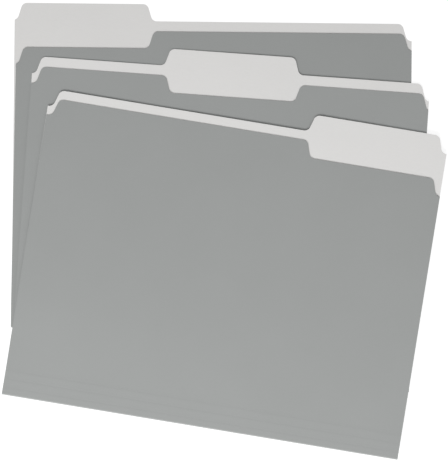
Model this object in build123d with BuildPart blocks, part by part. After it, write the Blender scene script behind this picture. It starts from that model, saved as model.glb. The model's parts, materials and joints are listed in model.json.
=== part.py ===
from build123d import *
from math import asin, degrees, pi, radians, tan
import os

# Three file folders of scored card, lying flat in a fanned stack. Millimetres and degrees.
# Each folder is one sheet, creased into leaves and strips that turn on the fold and the scores.

# Outline of one folder. Heights run from the outside of the bottom fold.
folder_width = 295.3
shoulder_height = 228.6
cover_drop = 6.9
step_rise = 12.7
step_slant = 17.0
step_radius = 4.2
side_step = 4.6
end_tab_width = 101.2
centre_tab_width = 96.4

# Card, fold and scores.
card_thickness = 0.28
pocket_gap = 1.6
mouth_gap = 0.1
score_pitch = 6.35
score_count = 3
score_groove = 0.08
crease_gap = 0.05

# How each upper folder lies on the cover of the one below, from fold corner to fold corner.
centre_rest_gap = 0.15
centre_shift_x = 0.4
centre_shift_y = -26.5
centre_tilt = -3.49
right_rest_gap = 0.5
right_shift_x = -4.2
right_shift_y = -22.7
right_tilt = -5.27

# The fold is a half-round bend as thick as the two leaves and the pocket between them.
fold_radius = pocket_gap / 2 + card_thickness
cover_bottom = card_thickness + pocket_gap
leaf_start = fold_radius + crease_gap

# The scores are a fixed pitch apart on the flat sheet, counted from the middle of the fold.
fold_arc = pi / 2 * (fold_radius - card_thickness / 2)
first_score = fold_radius + score_pitch - fold_arc
scores = [first_score + count * score_pitch for count in range(score_count)]

# The cover leans down from the last score, to leave the mouth gap below its top edge.
cover_reach = shoulder_height - cover_drop - scores[-1]
cover_lean = degrees(asin((pocket_gap - mouth_gap) / cover_reach))

# Every step of the cut edge is a slanted line between two tangent arcs.
half_slant_run = step_rise / 2 * tan(radians(step_slant))
curve_reach = step_radius * tan(radians(90 - step_slant) / 2)

# Where the cut edge steps, from the left side to the right side.
left_steps = (side_step, end_tab_width, folder_width - side_step)
right_steps = (side_step, folder_width - end_tab_width, folder_width - side_step)
centre_steps = (
    side_step,
    (folder_width - centre_tab_width) / 2,
    (folder_width + centre_tab_width) / 2,
    folder_width - side_step,
)


def cover_plane(plane):
    """Plane of a cover's inside face: origin at the left end of the last score, X along the score."""
    score_end = Location((0, scores[-1], cover_bottom), (-cover_lean, 0, 0))
    return Plane(plane.location * score_end)


def plane_on_cover(plane, rest_gap, shift_x, shift_y, tilt):
    """Plane of the underside of a folder that lies on the cover of the folder with the given plane."""
    corner = Location((shift_x, shift_y - scores[-1], card_thickness + rest_gap), (0, 0, tilt))
    return Plane(cover_plane(plane).location * corner)


def stepped_edge(base, levels, steps):
    """Corners of a cut edge that keeps one level between steps, each level a whole number of rises.

    The edge runs past both sides of the folder, so that the sides can trim its rounded corners.
    """
    heights = [base + level * step_rise for level in levels]
    corners = [(-curve_reach, heights[0])]
    for middle, before, after in zip(steps, heights, heights[1:]):
        corners.append((middle - half_slant_run, before))
        corners.append((middle + half_slant_run, after))
    corners.append((folder_width + curve_reach, heights[-1]))
    return corners


def leaf_outline(plane, bottom, corners):
    """Outline of a leaf from a straight bottom edge up to its cut edge, trimmed by the folder's sides."""
    with BuildSketch(plane) as outline:
        with BuildLine():
            cut_edge = FilletPolyline(*corners, radius=step_radius)
            left_end = cut_edge @ 0
            right_end = cut_edge @ 1
            Polyline(right_end, (right_end.X, bottom), (left_end.X, bottom), left_end)
        make_face()
        with Locations((0, bottom)):
            Rectangle(
                folder_width,
                shoulder_height + step_rise,
                align=(Align.MIN, Align.MIN),
                mode=Mode.INTERSECT,
            )
    return outline.sketch


def long_edges(part, plane):
    """Edges of the face that looks up from the plane, shortest first, so the full-width ones come last."""
    upper_face = part.faces().sort_by(Axis(plane.origin, plane.z_dir))[-1]
    return upper_face.edges().sort_by(SortBy.LENGTH)


def save(part, node):
    """Name a finished piece and write it as one file."""
    part.label = node
    export_step(part, f"parts/{node}.step")


def make_back_leaf(plane, corners):
    """Rear leaf, whose cut edge rises into the tab."""
    with BuildPart() as back_leaf:
        extrude(leaf_outline(plane, leaf_start, corners), amount=card_thickness)
    return back_leaf.part


def make_spine_fold(plane):
    """Half-round bend along the bottom, from the rear leaf round to the first score strip."""
    with BuildPart() as spine_fold:
        with BuildSketch(Plane(plane.origin, x_dir=plane.y_dir, z_dir=plane.x_dir)):
            with BuildLine():
                outside = CenterArc((fold_radius, fold_radius), fold_radius, 90, 180)
                inside = CenterArc((fold_radius, fold_radius), pocket_gap / 2, 90, 180)
                Line(outside @ 0, inside @ 0)
                Line(outside @ 1, inside @ 1)
            make_face()
        extrude(amount=folder_width)
    return spine_fold.part


def make_score_strip(plane, start, end, grooved_edges):
    """Narrow strip between two creases, with a pressed groove along its scored edges."""
    with BuildPart() as score_strip:
        with BuildSketch(plane.offset(cover_bottom)):
            with Locations((0, start)):
                Rectangle(folder_width, end - start, align=(Align.MIN, Align.MIN))
        extrude(amount=card_thickness)
        across = long_edges(score_strip, plane)[-2:].sort_by(Axis(plane.origin, plane.y_dir))
        chamfer(across[-grooved_edges:], length=score_groove)
    return score_strip.part


def make_front_leaf(plane, corners):
    """Front leaf above the last score, cut away below the tab so that the tab can be read."""
    with BuildPart() as front_leaf:
        extrude(leaf_outline(plane, crease_gap / 2, corners), amount=card_thickness)
        chamfer(long_edges(front_leaf, plane)[-1], length=score_groove)
    return front_leaf.part


def make_folder(name, plane, steps, back_levels, cover_levels):
    """Write the pieces of one folder, from the rear leaf round the fold to the front leaf."""
    save(make_back_leaf(plane, stepped_edge(shoulder_height, back_levels, steps)), f"{name}_back_leaf")
    save(make_spine_fold(plane), f"{name}_spine_fold")
    start = leaf_start
    for number, score in enumerate(scores, 1):
        grooved_edges = 1 if number == 1 else 2
        strip = make_score_strip(plane, start, score - crease_gap / 2, grooved_edges)
        save(strip, f"{name}_score_strip_{number}")
        start = score + crease_gap / 2
    cover_edge = stepped_edge(cover_reach, cover_levels, steps)
    save(make_front_leaf(cover_plane(plane), cover_edge), f"{name}_front_leaf")


os.makedirs("parts", exist_ok=True)

# Planes of the three undersides. The bottom folder's sets the frame, with its origin in mid-width.
left_plane = Plane((-folder_width / 2, -shoulder_height / 2, 0))
centre_plane = plane_on_cover(left_plane, centre_rest_gap, centre_shift_x, centre_shift_y, centre_tilt)
right_plane = plane_on_cover(centre_plane, right_rest_gap, right_shift_x, right_shift_y, right_tilt)

# Named for the place of the tab, from the bottom of the stack to the top.
# A level counts step rises above or below the shoulder, from the left side to the right side.
make_folder("left", left_plane, left_steps, (0, 1, 0, -1), (-2, -1, 0, -1))
make_folder("centre", centre_plane, centre_steps, (-1, 0, 1, 0, -1), (-1, 0, -1, 0, -1))
make_folder("right", right_plane, right_steps, (-1, 0, 1, 0), (-1, 0, -1, -2))
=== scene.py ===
"""Looks of a fanned stack of three grey card file folders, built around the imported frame."""

import json
import logging
from collections.abc import Callable, Sequence
from dataclasses import dataclass
from enum import Enum
from math import asin, atan2, cos, pi, radians, sin, tan

import bmesh
import bpy
from mathutils import Matrix, Vector


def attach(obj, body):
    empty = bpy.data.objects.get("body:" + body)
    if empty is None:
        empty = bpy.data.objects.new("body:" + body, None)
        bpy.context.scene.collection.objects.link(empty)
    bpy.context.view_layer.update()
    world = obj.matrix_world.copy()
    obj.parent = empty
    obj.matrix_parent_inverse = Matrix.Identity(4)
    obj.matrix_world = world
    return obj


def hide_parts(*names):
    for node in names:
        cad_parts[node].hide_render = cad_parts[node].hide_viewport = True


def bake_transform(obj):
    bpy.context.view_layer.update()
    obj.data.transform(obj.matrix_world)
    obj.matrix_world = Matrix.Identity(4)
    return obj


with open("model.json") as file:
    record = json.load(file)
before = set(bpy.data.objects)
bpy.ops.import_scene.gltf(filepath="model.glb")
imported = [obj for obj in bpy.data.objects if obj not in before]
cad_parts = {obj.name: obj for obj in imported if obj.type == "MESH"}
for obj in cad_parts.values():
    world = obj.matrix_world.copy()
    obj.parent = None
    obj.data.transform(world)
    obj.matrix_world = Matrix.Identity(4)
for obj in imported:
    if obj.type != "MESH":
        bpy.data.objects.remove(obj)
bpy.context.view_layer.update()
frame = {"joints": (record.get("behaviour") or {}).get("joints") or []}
JOINTS = {joint["name"]: joint for joint in frame["joints"]}

LOG = logging.getLogger("file_folders")

# Lengths are in metres and angles in radians
MM = 0.001
# Places closer than a hair count as one, and a cut snaps to points closer than a speck
HAIR = 1e-6
SPECK = 1e-7
SMOOTH_ANGLE = radians(35)
ROUND_PROFILE = 0.5
# Directions in a folder's own frame
ACROSS = Vector((1, 0, 0))
UP_SHEET = Vector((0, 1, 0))


# Sizes

@dataclass(frozen=True)
class SheetSizes:
    """Sizes of the sheet that every folder is cut from.

    Heights run up the sheet from the outside of the bottom fold. The score profile is half the section of a
    pressed groove, as pairs of a share of its reach and the share of its depth there. The last pair is in
    the level card beside the groove.
    """

    width: float = 295.3 * MM
    shoulder: float = 228.6 * MM
    cover_drop: float = 6.9 * MM
    step_rise: float = 12.7 * MM
    step_slant: float = radians(17.0)
    step_radius: float = 4.2 * MM
    side_step: float = 4.6 * MM
    end_tab: float = 101.2 * MM
    centre_tab: float = 96.4 * MM
    thickness: float = 0.28 * MM
    pocket_gap: float = 1.6 * MM
    mouth_gap: float = 0.1 * MM
    score_pitch: float = 6.35 * MM
    score_count: int = 3
    score_depth: float = 0.02 * MM
    score_reach: float = 0.9 * MM
    score_profile: tuple[tuple[float, float], ...] = (
        (0.0, 1.0), (0.33, 0.75), (0.67, 0.25), (1.0, 0.0), (1.4, 0.0)
    )
    crease_gap: float = 0.05 * MM

    @property
    def fold_radius(self) -> float:
        """Outside radius of the half-round fold."""
        return self.pocket_gap / 2 + self.thickness

    @property
    def cover_bottom(self) -> float:
        """Height of the inside of the score strips above the folder's underside."""
        return self.thickness + self.pocket_gap

    @property
    def cover_top(self) -> float:
        """Height of the outside of the score strips above the folder's underside."""
        return 2 * self.fold_radius

    @property
    def leaf_start(self) -> float:
        """Where the score strips, and a rear leaf that turns on the fold, begin just clear of it."""
        return self.fold_radius + self.crease_gap

    @property
    def scores(self) -> list[float]:
        """Places of the scores, a fixed pitch apart on the flat sheet from the middle of the fold.

        Returns:
            Heights up the sheet.
        """
        fold_arc = pi / 2 * (self.fold_radius - self.thickness / 2)
        first = self.fold_radius + self.score_pitch - fold_arc
        return [first + count * self.score_pitch for count in range(self.score_count)]

    @property
    def cover_reach(self) -> float:
        """Length of the cover from the last score to its highest edge."""
        return self.shoulder - self.cover_drop - self.scores[-1]

    @property
    def cover_lean(self) -> float:
        """Angle by which the cover leans down to the rear leaf."""
        return asin((self.pocket_gap - self.mouth_gap) / self.cover_reach)

    @property
    def half_slant_run(self) -> float:
        """Half the width of one slanted step of the cut edge."""
        return self.step_rise / 2 * tan(self.step_slant)

    @property
    def curve_reach(self) -> float:
        """Distance from a corner of the cut edge to where its rounding starts."""
        return self.step_radius * tan((pi / 2 - self.step_slant) / 2)


class TabPlace(Enum):
    """Where a folder's tab stands along the top edge; the stack climbs from left to right."""

    LEFT = "left"
    CENTRE = "centre"
    RIGHT = "right"

    @property
    def back_levels(self) -> tuple[int, ...]:
        """Levels of the rear leaf's cut edge, in step rises above the shoulder, from left to right."""
        return {
            TabPlace.LEFT: (0, 1, 0, -1),
            TabPlace.CENTRE: (-1, 0, 1, 0, -1),
            TabPlace.RIGHT: (-1, 0, 1, 0),
        }[self]

    @property
    def cover_levels(self) -> tuple[int, ...]:
        """Levels of the cover's cut edge, in step rises above its highest edge, from left to right."""
        return {
            TabPlace.LEFT: (-2, -1, 0, -1),
            TabPlace.CENTRE: (-1, 0, -1, 0, -1),
            TabPlace.RIGHT: (-1, 0, -1, -2),
        }[self]

    @property
    def fold_joint(self) -> str:
        """Hinge between the fold and the score strips."""
        return "right_expand" if self is TabPlace.RIGHT else f"{self.value}_fold"

    @property
    def spine_body(self) -> str:
        """Body that carries the fold."""
        return "right_spine" if self is TabPlace.RIGHT else f"{self.value}_back"

    def steps(self, sizes: SheetSizes) -> tuple[float, ...]:
        """Middles of the steps of the cut edge.

        Args:
            sizes: Sizes of the sheet.

        Returns:
            Distances from the left side of the sheet.
        """
        first = sizes.side_step
        last = sizes.width - sizes.side_step
        if self is TabPlace.LEFT:
            return first, sizes.end_tab, last
        if self is TabPlace.RIGHT:
            return first, sizes.width - sizes.end_tab, last
        return first, (sizes.width - sizes.centre_tab) / 2, (sizes.width + sizes.centre_tab) / 2, last


def stepped_edge(
    sizes: SheetSizes, base: float, levels: Sequence[int], steps: Sequence[float]
) -> list[Vector]:
    """Corners of a cut edge that keeps one level between its steps and runs past both sides of the sheet.

    Args:
        sizes: Sizes of the sheet.
        base: Height of level 0.
        levels: Levels between the steps, in step rises.
        steps: Middles of the steps.

    Returns:
        Corners from left to right.
    """
    heights = [base + level * sizes.step_rise for level in levels]
    corners = [Vector((-sizes.curve_reach, heights[0], 0.0))]
    for middle, before, after in zip(steps, heights, heights[1:]):
        corners.append(Vector((middle - sizes.half_slant_run, before, 0.0)))
        corners.append(Vector((middle + sizes.half_slant_run, after, 0.0)))
    corners.append(Vector((sizes.width + sizes.curve_reach, heights[-1], 0.0)))
    return corners


def folder_matrix(place: TabPlace, sizes: SheetSizes) -> Matrix:
    """Frame of one folder, read from its fold and score hinges.

    Args:
        place: Which folder.
        sizes: Sizes of the sheet.

    Returns:
        Matrix with X along the fold, Y up the sheet and its origin at the left end of the fold.
    """
    fold = JOINTS[place.fold_joint]
    fold_point = Vector(fold["pos_m"])
    along = Vector(fold["axis"]).normalized()
    chord = Vector(JOINTS[f"{place.value}_score"]["pos_m"]) - fold_point
    # The fold hinge lies on the outside of the strips, and the score hinge on their inside
    drop = atan2(sizes.thickness, sizes.scores[-1] - sizes.fold_radius)
    up = Matrix.Rotation(drop, 3, along) @ chord.normalized()
    out = along.cross(up)
    corner = fold_point - along * sizes.width / 2 - up * sizes.fold_radius - out * sizes.cover_top
    turn = Matrix((along, up, out)).transposed().to_4x4()
    return Matrix.Translation(corner) @ turn


# Modelling

class Workbench:
    """Models one sheet of card at a time with Blender's edit operators.

    A sheet is drawn flat in its folder's own frame and given its thickness, then laid in place and waved.
    """

    def __init__(self, name: str) -> None:
        """Start a piece of the given name."""
        self.name = name
        self.obj: bpy.types.Object | None = None

    def add_rectangle(self, low: Vector, high: Vector) -> None:
        """Add a flat rectangle and go into edit mode.

        Args:
            low: Lowest corner.
            high: Highest corner, at the same height.
        """
        bpy.ops.object.select_all(action="DESELECT")
        bpy.ops.mesh.primitive_plane_add(size=1.0, location=(low + high) / 2)
        self.obj = bpy.context.object
        self.obj.name = self.name
        self.obj.data.name = self.name
        self.obj.scale = (high.x - low.x, high.y - low.y, 1.0)
        bpy.ops.object.transform_apply(location=True, rotation=True, scale=True)
        bpy.ops.object.mode_set(mode="EDIT")
        bpy.ops.mesh.select_mode(type="VERT")

    def select(self, wanted: Callable[[Vector], bool]) -> None:
        """Select the vertices whose place is wanted, and no others.

        Args:
            wanted: Whether a place is wanted.
        """
        mesh = bmesh.from_edit_mesh(self.obj.data)
        for vertex in mesh.verts:
            vertex.select = wanted(vertex.co)
        mesh.select_flush_mode()
        bmesh.update_edit_mesh(self.obj.data)

    def cut_top(self, corners: Sequence[Vector], reach: float, segments: int) -> None:
        """Turn the straight top edge into a stepped one with rounded corners.

        Args:
            corners: Corners of the new edge, from left to right.
            reach: Distance from a corner to where its rounding starts.
            segments: Segments of each rounding.
        """
        mesh = bmesh.from_edit_mesh(self.obj.data)
        top = max(vertex.co.y for vertex in mesh.verts)
        self.select(lambda place: place.y > top - HAIR)
        bpy.ops.mesh.subdivide(number_cuts=len(corners) - 2, ngon=True)
        mesh = bmesh.from_edit_mesh(self.obj.data)
        on_top = [vertex.co.copy() for vertex in mesh.verts if vertex.co.y > top - HAIR]
        on_top.sort(key=lambda place: place.x)
        targets = [Vector((corner.x, corner.y, start.z)) for corner, start in zip(corners, on_top)]
        for start, target in reversed(list(zip(on_top, targets))):
            self.select(lambda place: (place - start).length < HAIR)
            bpy.ops.transform.translate(value=target - start)
        rounded = targets[1:-1]
        self.select(lambda place: any((place - corner).length < HAIR for corner in rounded))
        bpy.ops.mesh.bevel(
            offset=reach, offset_type="OFFSET", segments=segments, profile=ROUND_PROFILE, affect="VERTICES"
        )

    def trim_sides(self, width: float, leans: tuple[float, float]) -> None:
        """Trim off what runs past the sides of the sheet.

        Args:
            width: Width of the sheet's lower edge, from its left side at the origin.
            leans: Angles by which the left and the right side lean to the right.
        """
        for across, lean, outwards in ((0.0, leans[0], -1), (width, leans[1], 1)):
            normal = outwards * Vector((cos(lean), -sin(lean), 0))
            bpy.ops.mesh.select_all(action="SELECT")
            bpy.ops.mesh.bisect(plane_co=ACROSS * across, plane_no=normal, clear_outer=True, threshold=SPECK)

    def slice(self, along: Vector, places: Sequence[float]) -> None:
        """Cut the sheet across a direction, to let it bend there.

        Args:
            along: Direction from one cut to the next.
            places: Distances of the cuts from the origin.
        """
        for place in places:
            bpy.ops.mesh.select_all(action="SELECT")
            bpy.ops.mesh.bisect(plane_co=along * place, plane_no=along, threshold=SPECK)

    def slice_evenly(self, pitch: float) -> None:
        """Cut the sheet into a grid.

        Args:
            pitch: About how far apart the cuts are.
        """
        for axis, direction in enumerate((ACROSS, UP_SHEET)):
            mesh = bmesh.from_edit_mesh(self.obj.data)
            low = min(vertex.co[axis] for vertex in mesh.verts)
            high = max(vertex.co[axis] for vertex in mesh.verts)
            count = max(1, round((high - low) / pitch))
            self.slice(direction, [low + (high - low) * step / count for step in range(1, count)])

    def slice_score(self, place: float, sizes: SheetSizes) -> None:
        """Cut the sheet where a score groove beside the edge at the given height will bend it.

        Args:
            place: Height of the edge up the sheet.
            sizes: Sizes of the sheet.
        """
        reaches = [share * sizes.score_reach for share, _ in sizes.score_profile[1:]]
        self.slice(UP_SHEET, [place + sign * reach for reach in reaches for sign in (-1, 1)])

    def spin_fold(self, centre: Vector, angle: float, steps: int) -> None:
        """Spin the sheet's lower edge about the middle of the fold, and drop the rest of the sheet.

        Args:
            centre: A point of the axis, which runs along the fold.
            angle: How far to spin.
            steps: Segments of the bend.
        """
        mesh = bmesh.from_edit_mesh(self.obj.data)
        low = min(vertex.co.y for vertex in mesh.verts)
        self.select(lambda place: place.y > low + HAIR)
        bpy.ops.mesh.delete(type="VERT")
        bpy.ops.mesh.select_all(action="SELECT")
        bpy.ops.mesh.spin(steps=steps, angle=angle, center=centre, axis=ACROSS)
        bpy.ops.mesh.select_all(action="SELECT")
        bpy.ops.mesh.remove_doubles(threshold=HAIR)
        bpy.ops.mesh.normals_make_consistent(inside=False)

    def thicken(self, thickness: float, materials: Sequence[bpy.types.Material]) -> None:
        """Leave edit mode and give the sheet its thickness below the drawn side, and its materials.

        Args:
            thickness: Thickness of the card.
            materials: Materials of the drawn side, the far side and the cut edges.
        """
        bpy.ops.object.mode_set(mode="OBJECT")
        for material in materials:
            self.obj.data.materials.append(material)
        wall = self.obj.modifiers.new("card", "SOLIDIFY")
        wall.thickness = thickness
        wall.offset = -1.0
        # The offsets count on from the material of the drawn side
        wall.material_offset = 1
        wall.material_offset_rim = 2
        bpy.ops.object.modifier_apply(modifier=wall.name)

    def press_score(self, place: float, sizes: SheetSizes) -> None:
        """Press one half of a score groove into the drawn side, beside the edge at the given height.

        Args:
            place: Height of the edge up the sheet.
            sizes: Sizes of the sheet.
        """
        bpy.ops.object.mode_set(mode="EDIT")
        drawn = max(vertex.co.z for vertex in bmesh.from_edit_mesh(self.obj.data).verts)
        for share, depth in sizes.score_profile:
            away = share * sizes.score_reach
            self.select(lambda spot: spot.z > drawn - HAIR and abs(abs(spot.y - place) - away) < HAIR)
            bpy.ops.transform.translate(value=(0, 0, -depth * sizes.score_depth))
        bpy.ops.object.mode_set(mode="OBJECT")

    def lay(self, matrix: Matrix) -> None:
        """Lay the sheet in place, with the place in its mesh."""
        self.obj.matrix_world = matrix
        bpy.ops.object.transform_apply(location=True, rotation=True, scale=True)

    def wave(self, texture: bpy.types.Texture, height: float, share: Callable[[Vector], float]) -> None:
        """Lift the laid sheet in slow waves.

        Args:
            texture: Pattern of the waves, in the frame of the whole stack.
            height: Lift where the pattern is white and the share is 1.
            share: Share of the lift at a place.
        """
        shares = self.obj.vertex_groups.new(name="wave_shares")
        for vertex in self.obj.data.vertices:
            shares.add([vertex.index], share(vertex.co), "REPLACE")
        waves = self.obj.modifiers.new("waves", "DISPLACE")
        waves.texture = texture
        waves.texture_coords = "LOCAL"
        waves.direction = "Z"
        waves.mid_level = 0.0
        waves.strength = height
        waves.vertex_group = shares.name
        bpy.ops.object.modifier_apply(modifier=waves.name)
        self.obj.vertex_groups.clear()

    def finish(self) -> bpy.types.Object:
        """Shade the piece smooth across its bends and hand it over."""
        bpy.ops.object.shade_smooth_by_angle(angle=SMOOTH_ANGLE)
        return self.obj


# Shaders

# Sockets of a Mix node that mixes colours go by number, because others have the same names
MIX_FACTOR, MIX_LOW, MIX_HIGH, MIX_RESULT = 0, 6, 7, 2


def grey(level: float) -> tuple[float, float, float, float]:
    """An opaque grey of a linear level, where 1 is white."""
    return level, level, level, 1.0


@dataclass(frozen=True)
class Noise:
    """A noise pattern.

    Attributes:
        size: About how large its main features are.
        detail: How many finer layers it has.
        roughness: How strong the finer layers are.
        low: Level that becomes 0.
        high: Level that becomes 1.
    """

    size: float
    detail: float
    roughness: float
    low: float = 0.3
    high: float = 0.7


class Wire:
    """An output socket that takes part in Python arithmetic; each operator adds a Math node."""

    def __init__(self, board: "NodeBoard", socket: bpy.types.NodeSocket | None) -> None:
        """Wrap a socket of a board's node."""
        self.board = board
        self.socket = socket

    def __add__(self, other: "Wire | float") -> "Wire":
        """Sum of two values."""
        return self.board.math("ADD", self, other)

    def __radd__(self, other: float) -> "Wire":
        """Sum of a number and a value."""
        return self.board.math("ADD", other, self)

    def __sub__(self, other: "Wire | float") -> "Wire":
        """Difference of two values."""
        return self.board.math("SUBTRACT", self, other)

    def __rsub__(self, other: float) -> "Wire":
        """Difference of a number and a value."""
        return self.board.math("SUBTRACT", other, self)

    def __mul__(self, other: "Wire | float") -> "Wire":
        """Product of two values."""
        return self.board.math("MULTIPLY", self, other)

    def __rmul__(self, other: float) -> "Wire":
        """Product of a number and a value."""
        return self.board.math("MULTIPLY", other, self)


class NodeBoard:
    """An emptied node tree and the one method that adds nodes to it, with short forms of it."""

    def __init__(self, tree: bpy.types.NodeTree) -> None:
        """Empty a node tree and take it over."""
        self.tree = tree
        self.tree.nodes.clear()

    def add(
        self,
        kind: str,
        settings: dict[str, object] | None = None,
        inputs: dict[str | int, object] | None = None,
        output: str | int = 0,
    ) -> Wire:
        """Add a node.

        Args:
            kind: The node's type.
            settings: Properties of the node, which are set first.
            inputs: Values or wires of its sockets, by name or number.
            output: Which of its outputs to return.

        Returns:
            The output, or an empty wire where the node has none.
        """
        node = self.tree.nodes.new(kind)
        for name, value in (settings or {}).items():
            setattr(node, name, value)
        for key, value in (inputs or {}).items():
            if isinstance(value, Wire):
                self.tree.links.new(value.socket, node.inputs[key])
            else:
                node.inputs[key].default_value = value
        return Wire(self, node.outputs[output] if len(node.outputs) else None)

    def math(self, operation: str, first: Wire | float, second: Wire | float) -> Wire:
        """Add a Math node on two values."""
        return self.add("ShaderNodeMath", {"operation": operation}, {0: first, 1: second})

    def noise(self, place: Wire, pattern: Noise) -> Wire:
        """Noise from 0 to 1.

        Args:
            place: Coordinates to read it at.
            pattern: Which noise.

        Returns:
            Level of the noise.
        """
        cells = {
            "Vector": place, "Scale": 1.0 / pattern.size, "Detail": pattern.detail,
            "Roughness": pattern.roughness,
        }
        level = self.add("ShaderNodeTexNoise", {"noise_dimensions": "3D"}, cells)
        spread = {"Value": level, "From Min": pattern.low, "From Max": pattern.high}
        return self.add("ShaderNodeMapRange", {"clamp": True}, spread)

    def tint(self, factor: Wire, low: Wire | tuple[float, ...], high: tuple[float, ...]) -> Wire:
        """Colour between two colours.

        Args:
            factor: Share of the second colour.
            low: First colour.
            high: Second colour.

        Returns:
            The colour.
        """
        first = low if isinstance(low, Wire) else (*low, 1.0)
        colours = {MIX_FACTOR: factor, MIX_LOW: first, MIX_HIGH: (*high, 1.0)}
        return self.add("ShaderNodeMix", {"data_type": "RGBA", "blend_type": "MIX"}, colours, MIX_RESULT)

    def painted_score_shade_mask(self, height: Wire, sizes: SheetSizes, reach: float) -> Wire:
        """Mask of the painted shade along the scores: 1 along every score of a sheet, fading to 0 at a reach
        of at most half their pitch.

        Args:
            height: Height up the sheet.
            sizes: Sizes of the sheet.
            reach: Where a line has faded out.

        Returns:
            Strength of the lines.
        """
        half_pitch = sizes.score_pitch / 2
        away = self.math("PINGPONG", height - sizes.scores[0], half_pitch)
        fade = {"Value": away, "From Min": 0.0, "From Max": reach, "To Min": 1.0, "To Max": 0.0}
        line = self.add("ShaderNodeMapRange", {"interpolation_type": "SMOOTHSTEP"}, fade)
        above_fold = self.math("GREATER_THAN", height, sizes.scores[0] - half_pitch)
        below_cover = self.math("LESS_THAN", height, sizes.scores[-1] + half_pitch)
        return line * above_fold * below_cover


@dataclass(frozen=True)
class CardFinish:
    """Look of one face of the card, in linear colours.

    Attributes:
        name: What the finish is called.
        shade: Its darkest colour.
        light: Its lightest colour.
        mottle_share: Share of the mottle in the change of colour; the grain has the rest.
        roughness: Middle of its roughness.
        roughness_spread: Range of its roughness over the grain.
        gloss: Its specular level.
        tooth: Depth of the grain.
        score_painted_shade: Painted shade along the scores: the share of the colour taken away, standing in
            for the shade in the pressed grooves.
        painted_shade_fade: How far from a score that painted shade has faded out.
        mottle: Slow change of tone over the sheet.
        fibre: Fibres of the card, which run along the fold.
        fleck: Specks among the fibres.
        fibre_share: Share of the fibres in the grain; the flecks have the rest.
        fibre_stretch: How many times longer than wide the fibres are.
    """

    name: str
    shade: tuple[float, float, float]
    light: tuple[float, float, float]
    mottle_share: float
    roughness: float
    roughness_spread: float
    gloss: float
    tooth: float
    score_painted_shade: float = 0.0
    painted_shade_fade: float = 2.6 * MM
    mottle: Noise = Noise(size=45 * MM, detail=3.0, roughness=0.55)
    fibre: Noise = Noise(size=0.9 * MM, detail=4.0, roughness=0.65)
    fleck: Noise = Noise(size=0.35 * MM, detail=1.0, roughness=0.5)
    fibre_share: float = 0.7
    fibre_stretch: float = 3.5

    def material(self, label: str, sheet: Matrix, sizes: SheetSizes, tone: float) -> bpy.types.Material:
        """Make the finish's material.

        Args:
            label: What tells this copy from the others.
            sheet: Frame of the sheet, with X along the grain.
            sizes: Sizes of the sheet.
            tone: Share of the finishes' colours that this sheet takes; the folders lower in the stack take
                less.

        Returns:
            The material.
        """
        material = bpy.data.materials.new(f"{self.name}_{label}")
        material.use_nodes = True
        board = NodeBoard(material.node_tree)
        place = board.add("ShaderNodeTexCoord", output="Object")
        frame_of_sheet = {
            "Vector": place, "Location": sheet.translation, "Rotation": sheet.to_euler(),
            "Scale": (self.fibre_stretch, 1, 1),
        }
        on_sheet = board.add("ShaderNodeMapping", {"vector_type": "TEXTURE"}, frame_of_sheet)
        mottle = board.noise(place, self.mottle)
        fibre = board.noise(on_sheet, self.fibre)
        fleck = board.noise(place, self.fleck)
        grain = fibre * self.fibre_share + fleck * (1.0 - self.fibre_share)
        mix = mottle * self.mottle_share + grain * (1.0 - self.mottle_share)
        shade, light = (tuple(tone * value for value in colour) for colour in (self.shade, self.light))
        colour = board.tint(mix, shade, light)
        # Painted shade: the colour is darkened along the scores, standing in for the shade in the pressed
        # grooves
        if self.score_painted_shade:
            height = board.add("ShaderNodeSeparateXYZ", None, {"Vector": on_sheet}, "Y")
            pressed = board.painted_score_shade_mask(height, sizes, self.painted_shade_fade)
            colour = board.tint(pressed * self.score_painted_shade, colour, (0.0, 0.0, 0.0))
        rough = grain * self.roughness_spread + (self.roughness - self.roughness_spread / 2)
        depth = {"Strength": 1.0, "Distance": self.tooth, "Height": grain}
        surface = {
            "Base Color": colour,
            "Roughness": rough,
            "Specular IOR Level": self.gloss,
            "Normal": board.add("ShaderNodeBump", None, depth),
        }
        shader = board.add("ShaderNodeBsdfPrincipled", None, surface)
        board.add("ShaderNodeOutputMaterial", None, {"Surface": shader})
        return material


# The grey side's score value paints shade along the pressed grooves
GREY_OUTSIDE = CardFinish(
    name="grey_outside", shade=(0.358, 0.369, 0.363), light=(0.376, 0.387, 0.382), mottle_share=0.45,
    roughness=0.62, roughness_spread=0.10, gloss=0.30, tooth=0.012 * MM, score_painted_shade=0.02,
)
PALE_INSIDE = CardFinish(
    name="pale_inside", shade=(0.821, 0.813, 0.801), light=(0.858, 0.850, 0.838), mottle_share=0.35,
    roughness=0.74, roughness_spread=0.10, gloss=0.25, tooth=0.016 * MM,
)
CARD_CORE = CardFinish(
    name="card_core", shade=(0.50, 0.50, 0.49), light=(0.66, 0.66, 0.65), mottle_share=0.15,
    roughness=0.88, roughness_spread=0.08, gloss=0.15, tooth=0.03 * MM,
    fibre=Noise(size=0.12 * MM, detail=4.0, roughness=0.65),
    fleck=Noise(size=0.06 * MM, detail=1.0, roughness=0.5), fibre_stretch=6.0,
)


# Folders

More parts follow.
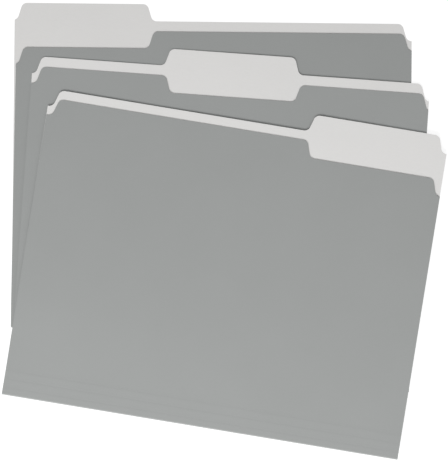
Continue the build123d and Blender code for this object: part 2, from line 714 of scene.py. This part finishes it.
@dataclass(frozen=True)
class CardWaves:
    """Slow waves of a folder's leaves, which lie calm near the fold.

    Attributes:
        height: Lift where a leaf waves most.
        left_share: Share of the lift at a leaf's left side; its right side has all of it.
        calm_below: Height up the sheet where the waves begin.
        full_above: Height up the sheet where they have come to their full lift.
        spread: Size of the waves.
        layers: How many finer layers of waves there are.
    """

    height: float
    left_share: float = 0.4
    calm_below: float = 20 * MM
    full_above: float = 80 * MM
    spread: float = 160 * MM
    layers: int = 1

    def texture(self) -> bpy.types.Texture:
        """Pattern of the waves.

        Returns:
            A texture that runs on from one folder to the next.
        """
        pattern = bpy.data.textures.new("card_waves", "CLOUDS")
        pattern.noise_scale = self.spread
        pattern.noise_depth = self.layers
        return pattern

    def share(self, spot: Vector, width: float) -> float:
        """Share of the wave at a spot of a sheet.

        Args:
            spot: The spot, across and up the sheet.
            width: Width of the sheet.

        Returns:
            A share from 0 to 1.
        """
        across = self.left_share + (1 - self.left_share) * spot.x / width
        rise = (spot.y - self.calm_below) / (self.full_above - self.calm_below)
        rise = min(1.0, max(0.0, rise))
        return across * rise * rise * (3 - 2 * rise)


@dataclass
class Folder:
    """One folder: rear leaf, fold, score strips and cover, and the creases where its sheet bends.

    Attributes:
        place: Which of the three folders it is.
        sizes: Sizes of its sheet.
        waves: Waves of its leaves.
        tone: Share of the finishes' colours that its sheet takes; the folders lower in the stack take less.
        rear_shifts: How far to the right of their places the steps of the rear leaf's cut edge came out: the
            step at its left side, those beside the tab, and the step at its right side.
        cover_shifts: The same for the cover, whose steps beside the tab make the notch under it.
        cover_slip: How far below its place the cover's cut edge came out.
        rear_leans: Angles by which the rear leaf's left and right side came out leaning to the right.
        cover_leans: Angles by which the cover's left and right side came out leaning to the right.
        lies_on_table: Whether its rear leaf is pressed flat.
        grid_pitch: About how far apart the cuts are that let its sheet bend.
        corner_segments: Segments of a rounded corner of a cut edge.
        fold_segments: Segments of the fold.
        crease_segments: Segments of a crease.
    """

    place: TabPlace
    sizes: SheetSizes
    waves: CardWaves
    tone: float
    rear_shifts: tuple[float, float, float]
    cover_shifts: tuple[float, float, float]
    cover_slip: float = 0.0
    rear_leans: tuple[float, float] = (0.0, 0.0)
    cover_leans: tuple[float, float] = (0.0, 0.0)
    lies_on_table: bool = False
    grid_pitch: float = 12 * MM
    corner_segments: int = 7
    fold_segments: int = 24
    crease_segments: int = 10

    def __post_init__(self) -> None:
        """Find the folder's place and make its materials and the pattern of its waves."""
        self.name = self.place.value
        self.matrix = folder_matrix(self.place, self.sizes)
        score_end = Matrix.Translation((0, self.sizes.scores[-1], self.sizes.cover_bottom))
        self.cover_matrix = self.matrix @ score_end @ Matrix.Rotation(-self.sizes.cover_lean, 4, "X")
        outside, inside, core = (
            finish.material(self.name, self.matrix, self.sizes, self.tone)
            for finish in (GREY_OUTSIDE, PALE_INSIDE, CARD_CORE)
        )
        self.outside_up = (outside, inside, core)
        self.inside_up = (inside, outside, core)
        self.pattern = self.waves.texture()

    def build(self) -> list[bpy.types.Object]:
        """Make every piece of the folder.

        Returns:
            The pieces, from the rear leaf round to the cover, and then the creases.
        """
        pieces = [self.make_rear_leaf(), self.make_fold()]
        pieces += self.make_strips()
        pieces.append(self.make_cover())
        pieces += self.make_creases()
        return pieces

    def seat(self, piece: bpy.types.Object, body: str, node: str) -> bpy.types.Object:
        """Let a finished piece stand for a node and move with its body.

        Args:
            piece: The piece.
            body: The body that it moves with.
            node: What the node is called within its folder.

        Returns:
            The piece.
        """
        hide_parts(f"{self.name}_{node}")
        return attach(piece, body)

    def steps(self, shifts: tuple[float, float, float]) -> list[float]:
        """Middles of the steps of a cut edge, as they came out.

        Args:
            shifts: Shifts of the step at the left side, the steps beside the tab and the step at the right.

        Returns:
            Distances from the left side of the sheet.
        """
        left, tab, right = shifts
        first, *inner, last = self.place.steps(self.sizes)
        return [first + left, *(step + tab for step in inner), last + right]

    def draw_leaf(self, bench: Workbench, start: float, corners: Sequence[Vector]) -> None:
        """Draw a leaf that runs past the sides of the sheet, up to its cut edge.

        Args:
            bench: Where it is drawn.
            start: Height of its straight lower edge.
            corners: Corners of its cut edge.
        """
        sizes = self.sizes
        top = max(corner.y for corner in corners)
        bench.add_rectangle(
            Vector((-sizes.curve_reach, start, sizes.thickness)),
            Vector((sizes.width + sizes.curve_reach, top, sizes.thickness)),
        )
        bench.cut_top(corners, sizes.curve_reach, self.corner_segments)

    def wave_leaf(self, bench: Workbench, matrix: Matrix, foot: float) -> None:
        """Give a leaf that lies in place its waves.

        Args:
            bench: The leaf.
            matrix: Its place.
            foot: Height up the sheet of the leaf's own origin.
        """
        to_sheet = Matrix.Translation(UP_SHEET * foot) @ matrix.inverted()
        width = self.sizes.width
        bench.wave(
            self.pattern, self.waves.height, lambda place: self.waves.share(to_sheet @ place, width)
        )

    def make_rear_leaf(self) -> bpy.types.Object:
        """Rear leaf with the tab, drawn from its inside.

        Returns:
            The leaf.
        """
        sizes = self.sizes
        start = sizes.leaf_start if self.place is TabPlace.RIGHT else sizes.fold_radius
        steps = self.steps(self.rear_shifts)
        bench = Workbench(f"{self.name}_rear_card")
        self.draw_leaf(bench, start, stepped_edge(sizes, sizes.shoulder, self.place.back_levels, steps))
        bench.trim_sides(sizes.width, self.rear_leans)
        bench.slice_evenly(self.grid_pitch)
        bench.thicken(sizes.thickness, self.inside_up)
        bench.lay(self.matrix)
        if not self.lies_on_table:
            self.wave_leaf(bench, self.matrix, 0.0)
        return self.seat(bench.finish(), f"{self.name}_back", "back_leaf")

    def make_cover(self) -> bpy.types.Object:
        """Cover above the last score, drawn from its outside.

        Returns:
            The cover.
        """
        sizes = self.sizes
        start = sizes.crease_gap / 2
        edge = sizes.cover_reach - self.cover_slip
        steps = self.steps(self.cover_shifts)
        bench = Workbench(f"{self.name}_cover_card")
        self.draw_leaf(bench, start, stepped_edge(sizes, edge, self.place.cover_levels, steps))
        bench.trim_sides(sizes.width, self.cover_leans)
        bench.slice_evenly(self.grid_pitch)
        bench.slice_score(start, sizes)
        bench.thicken(sizes.thickness, self.outside_up)
        bench.press_score(start, sizes)
        bench.lay(self.cover_matrix)
        self.wave_leaf(bench, self.cover_matrix, sizes.scores[-1])
        return self.seat(bench.finish(), f"{self.name}_cover", "front_leaf")

    def make_fold(self) -> bpy.types.Object:
        """Half-round fold along the bottom, drawn from its outside.

        Returns:
            The fold.
        """
        sizes = self.sizes
        radius = sizes.fold_radius
        bench = Workbench(f"{self.name}_fold_card")
        bench.add_rectangle(Vector((0, radius, 0)), Vector((sizes.width, 2 * radius, 0)))
        bench.spin_fold(Vector((0, radius, radius)), pi, self.fold_segments)
        bench.thicken(sizes.thickness, self.outside_up)
        bench.lay(self.matrix)
        return self.seat(bench.finish(), self.place.spine_body, "spine_fold")

    def make_strips(self) -> list[bpy.types.Object]:
        """Strips between the scores, which meet in pressed grooves.

        Returns:
            The strips, from the fold up.
        """
        sizes = self.sizes
        strips = []
        start = sizes.leaf_start
        for number, score in enumerate(sizes.scores, 1):
            last = number == sizes.score_count
            end = score - sizes.crease_gap / 2 if last else score
            bench = Workbench(f"{self.name}_strip_card_{number}")
            bench.add_rectangle(
                Vector((0, start, sizes.cover_top)), Vector((sizes.width, end, sizes.cover_top))
            )
            bench.slice_evenly(self.grid_pitch)
            scored_edges = (end,) if number == 1 else (start, end)
            for edge in scored_edges:
                bench.slice_score(edge, sizes)
            bench.thicken(sizes.thickness, self.outside_up)
            for edge in scored_edges:
                bench.press_score(edge, sizes)
            bench.lay(self.matrix)
            strips.append(self.seat(bench.finish(), f"{self.name}_base", f"score_strip_{number}"))
            start = score
        return strips

    def make_creases(self) -> list[bpy.types.Object]:
        """Short pieces of card where the sheet bends.

        Returns:
            The creases at the fold and at the last score, and beside a rear leaf that turns on the fold.
        """
        sizes = self.sizes
        at_fold = sizes.fold_radius, sizes.leaf_start
        at_score = sizes.scores[-1] - sizes.crease_gap / 2, sizes.scores[-1] + sizes.crease_gap / 2
        pressed = sizes.thickness - sizes.score_depth
        creases = [
            self.make_crease("fold", at_fold, sizes.cover_bottom, sizes.thickness),
            self.make_crease("score", at_score, sizes.cover_bottom, pressed),
        ]
        if self.place is TabPlace.RIGHT:
            creases.append(self.make_crease("open", at_fold, 0.0, sizes.thickness))
        return creases

    def make_crease(
        self,
        kind: str,
        span: tuple[float, float],
        underside: float,
        thickness: float,
    ) -> bpy.types.Object:
        """One crease, a short piece of card where the sheet passes from one body's card to the next.

        Args:
            kind: Which crease.
            span: Where it begins and ends, up the sheet.
            underside: Height of its lower face above the folder's underside.
            thickness: Thickness of the card there.

        Returns:
            The crease.
        """
        low, high = (Vector((0, height, underside + thickness)) for height in span)
        bench = Workbench(f"{self.name}_{kind}_crease")
        bench.add_rectangle(low, high + ACROSS * self.sizes.width)
        shares = [step / self.crease_segments for step in range(1, self.crease_segments)]
        bench.slice(UP_SHEET, [low.lerp(high, share).y for share in shares])
        # Only the card that lies on the folder's underside has its inside up
        bench.thicken(thickness, self.outside_up if underside > 0.0 else self.inside_up)
        bench.lay(self.matrix)
        piece = bench.finish()
        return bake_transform(piece)


# Studio

@dataclass(frozen=True)
class Studio:
    """Floor, light and camera of the picture, which looks straight down.

    Attributes:
        camera_place: Where the camera stands.
        camera_turn: How far it is turned about its line of sight.
        focal_pixels: Its focal length, in pixels of the picture.
        image_height: Height of the picture, its longer side, in pixels.
        sensor: Size of its sensor, in millimetres.
        clip: Nearest and farthest distance that it sees.
        floor_size: Side of the floor.
        floor_drop: How far below the stack the floor lies.
        floor_bounce: How much of the light the floor gives back to the stack.
        floor_shade: How much of the light shows on the floor, and so how dark the shadow is.
        floor_white: Glow of the floor to the camera, which makes it white together with that light.
        world_strength: Strength of the even light from all sides.
        key_place: Middle of the softbox, below the picture's lower edge and to its left.
        key_aim: Where the softbox points.
        key_size: Side of the softbox.
        key_power: Power of the softbox, in watts.
    """

    camera_place: tuple[float, float, float] = (9.66 * MM, -41.0 * MM, 806.2 * MM)
    camera_turn: float = radians(0.615)
    focal_pixels: float = 1084.2
    image_height: int = 462
    sensor: float = 36.0
    clip: tuple[float, float] = (0.01, 20.0)
    floor_size: float = 6.0
    floor_drop: float = 0.1 * MM
    floor_bounce: float = 0.8
    floor_shade: float = 0.30
    floor_white: float = 0.86
    world_strength: float = 0.38
    key_place: tuple[float, float, float] = (-0.38, -1.39, 1.16)
    key_aim: tuple[float, float, float] = (0.0, -0.06, 0.0)
    key_size: float = 0.8
    key_power: float = 26.8

    def build(self) -> None:
        """Make the floor, the world, the light and the camera."""
        self.make_floor()
        self.make_world()
        self.make_key()
        self.make_camera()

    @staticmethod
    def seen_rays(board: NodeBoard) -> Wire:
        """1 on the rays that show the background itself, and 0 on those that light the object.

        Args:
            board: Where its nodes go.

        Returns:
            The value.
        """
        seen = board.add("ShaderNodeLightPath", output="Is Camera Ray")
        for ray in ("Is Glossy Ray", "Is Transmission Ray"):
            seen = board.math("MAXIMUM", seen, board.add("ShaderNodeLightPath", output=ray))
        return seen

    def make_floor(self) -> None:
        """Pale floor, white to the camera apart from the shadow on it."""
        bpy.ops.object.select_all(action="DESELECT")
        bpy.ops.mesh.primitive_plane_add(size=self.floor_size, location=(0, 0, -self.floor_drop))
        floor = bpy.context.object
        floor.name = "floor"
        bpy.ops.object.transform_apply(location=True, rotation=True, scale=True)
        material = bpy.data.materials.new("white_floor")
        material.use_nodes = True
        board = NodeBoard(material.node_tree)
        bounce = board.add("ShaderNodeBsdfDiffuse", None, {"Color": grey(self.floor_bounce)})
        shade = board.add("ShaderNodeBsdfDiffuse", None, {"Color": grey(self.floor_shade)})
        white = board.add("ShaderNodeEmission", None, {"Strength": self.floor_white})
        backdrop = board.add("ShaderNodeAddShader", None, {0: shade, 1: white})
        surface = board.add("ShaderNodeMixShader", None, {0: self.seen_rays(board), 1: bounce, 2: backdrop})
        board.add("ShaderNodeOutputMaterial", None, {"Surface": surface})
        floor.data.materials.append(material)

    def make_world(self) -> None:
        """Even light from all sides, white where it is seen."""
        world = bpy.data.worlds.new("white_room")
        world.use_nodes = True
        bpy.context.scene.world = world
        board = NodeBoard(world.node_tree)
        even = {"Color": grey(1.0), "Strength": self.world_strength}
        lit = board.add("ShaderNodeBackground", None, even)
        white = board.add("ShaderNodeBackground", None, {"Color": grey(1.0), "Strength": 1.0})
        surface = board.add("ShaderNodeMixShader", None, {0: self.seen_rays(board), 1: lit, 2: white})
        board.add("ShaderNodeOutputWorld", None, {"Surface": surface})

    def make_key(self) -> None:
        """Softbox that lights the stack from below the picture's lower edge."""
        place = Vector(self.key_place)
        bpy.ops.object.light_add(type="AREA", location=place)
        key = bpy.context.object
        key.name = "softbox"
        key.data.shape = "SQUARE"
        key.data.size = self.key_size
        key.data.energy = self.key_power
        key.rotation_euler = (Vector(self.key_aim) - place).to_track_quat("-Z", "Y").to_euler()

    def make_camera(self) -> None:
        """Camera that looks straight down, turned a little as the picture is."""
        bpy.ops.object.camera_add(location=self.camera_place, rotation=(0, 0, self.camera_turn))
        camera = bpy.context.object
        camera.name = "camera"
        camera.data.sensor_width = self.sensor
        camera.data.lens = self.sensor * self.focal_pixels / self.image_height
        camera.data.clip_start, camera.data.clip_end = self.clip
        bpy.context.scene.camera = camera


def main() -> None:
    """Build the folders from the bottom of the stack to the top, then the studio round them."""
    logging.basicConfig(level=logging.INFO, format="%(name)s: %(message)s")
    bpy.context.scene.view_settings.view_transform = "Standard"
    sizes = SheetSizes()
    stack = (
        Folder(
            TabPlace.LEFT, sizes, CardWaves(height=0.2 * MM), tone=0.942,
            rear_shifts=(-0.7 * MM, -0.7 * MM, -0.7 * MM), cover_shifts=(0.4 * MM, 0.4 * MM, 0.4 * MM),
            cover_slip=0.8 * MM, cover_leans=(radians(0.45), 0.0), lies_on_table=True,
        ),
        Folder(
            TabPlace.CENTRE, sizes, CardWaves(height=0.8 * MM), tone=0.986,
            rear_shifts=(0.1 * MM, 0.1 * MM, 0.1 * MM), cover_shifts=(0.7 * MM, 1.9 * MM, 1.7 * MM),
            cover_slip=0.7 * MM,
        ),
        Folder(
            TabPlace.RIGHT, sizes, CardWaves(height=1.05 * MM, left_share=1.0), tone=1.005,
            rear_shifts=(-0.8 * MM, -0.8 * MM, -0.8 * MM), cover_shifts=(-0.4 * MM, 0.0, -0.3 * MM),
            rear_leans=(radians(-0.5), 0.0), cover_leans=(radians(-0.5), 0.0),
        ),
    )
    for folder in stack:
        for piece in folder.build():
            LOG.info("%s has %d faces", piece.name, len(piece.data.polygons))
    Studio().build()


if __name__ == "__main__":
    main()
